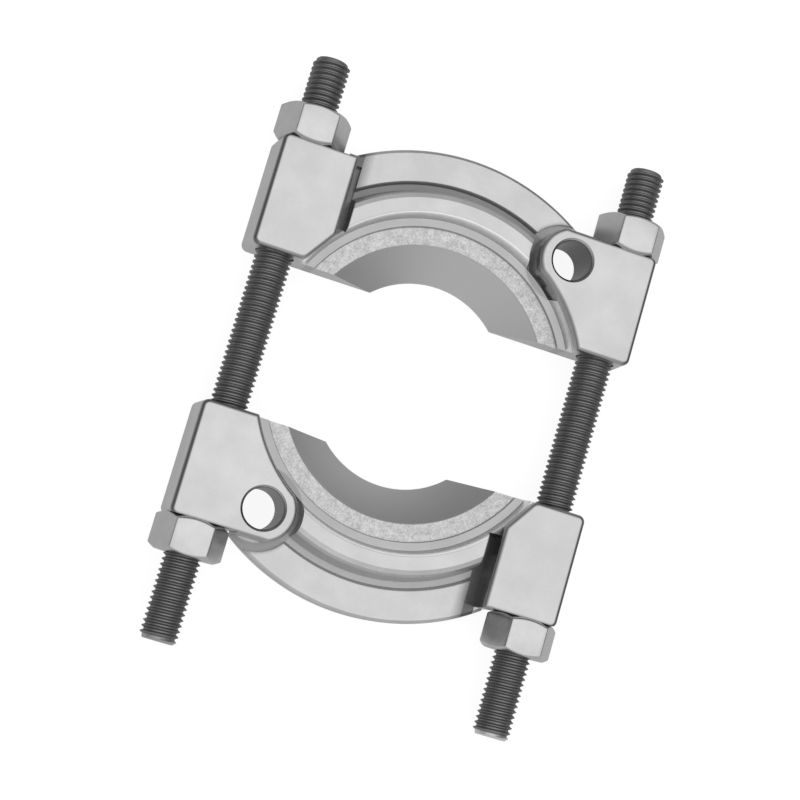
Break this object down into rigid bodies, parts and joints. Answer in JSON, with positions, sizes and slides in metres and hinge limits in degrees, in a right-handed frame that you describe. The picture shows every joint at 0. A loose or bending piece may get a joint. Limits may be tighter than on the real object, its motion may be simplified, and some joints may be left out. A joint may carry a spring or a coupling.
{
  "type": "bearing separator",
  "caption": "Bearing separator with forged half-round jaws whose knife edges slide behind a bearing, drawn together by hex nuts on threaded studs, with holes for puller legs.",
  "frame": {"origin": "centre of the opening between the jaws, on the plane of their flat side", "axes": "+Z from the flat side to the raised side, +Y along the studs, +X from the left stud to the right stud"},
  "size_m": [0.1752, 0.25, 0.027],
  "materials": {
    "jaw_steel": "satin plated forging",
    "stud_steel": "black oxide",
    "nut_steel": "bright satin plated"
  },
  "bodies": {
    "lower_jaw": {"lower_jaw": "jaw_steel"},
    "upper_jaw": {"upper_jaw": "jaw_steel"},
    "left_stud": {"left_stud": "stud_steel"},
    "right_stud": {"right_stud": "stud_steel"},
    "upper_left_nut": {"upper_left_nut": "nut_steel"},
    "upper_right_nut": {"upper_right_nut": "nut_steel"},
    "lower_left_nut": {"lower_left_nut": "nut_steel"},
    "lower_right_nut": {"lower_right_nut": "nut_steel"}
  },
  "joints": [
    {"name": "left_stud_slide", "type": "slide", "parent": "lower_jaw", "child": "left_stud", "axis": [0, 1, 0], "range_m": [-0.0264, 0.0355]},
    {"name": "right_stud_slide", "type": "slide", "parent": "lower_jaw", "child": "right_stud", "axis": [0, 1, 0], "range_m": [-0.0264, 0.0355]},
    {"name": "upper_jaw_slide", "type": "slide", "parent": "left_stud", "child": "upper_jaw", "axis": [0, 1, 0], "range_m": [-0.0394, 0.0225]},
    {"name": "upper_left_nut_spin", "type": "hinge", "parent": "upper_jaw", "child": "upper_left_nut", "pos_m": [-0.072, 0.08825, 0.01349], "axis": [0, 1, 0], "range_deg": [-6143, 3508.5]},
    {"name": "upper_right_nut_spin", "type": "hinge", "parent": "upper_jaw", "child": "upper_right_nut", "pos_m": [0.072, 0.08825, 0.01349], "axis": [0, 1, 0], "range_deg": [-6143, 3508.5]},
    {"name": "lower_left_nut_spin", "type": "hinge", "parent": "lower_jaw", "child": "lower_left_nut", "pos_m": [-0.072, -0.08825, 0.01349], "axis": [0, 1, 0], "range_deg": [-5535, 4116.5]},
    {"name": "lower_right_nut_spin", "type": "hinge", "parent": "lower_jaw", "child": "lower_right_nut", "pos_m": [0.072, -0.08825, 0.01349], "axis": [0, 1, 0], "range_deg": [-5535, 4116.5]}
  ],
  "couplings": [
    {"joint": "upper_left_nut_spin", "follows": "upper_jaw_slide", "rad_per_m": 2721.1},
    {"joint": "upper_right_nut_spin", "follows": "upper_jaw_slide", "rad_per_m": 2721.1},
    {"joint": "right_stud_slide", "follows": "left_stud_slide", "ratio": 1},
    {"joint": "lower_left_nut_spin", "follows": "left_stud_slide", "rad_per_m": -2721.1},
    {"joint": "lower_right_nut_spin", "follows": "left_stud_slide", "rad_per_m": -2721.1}
  ]
}
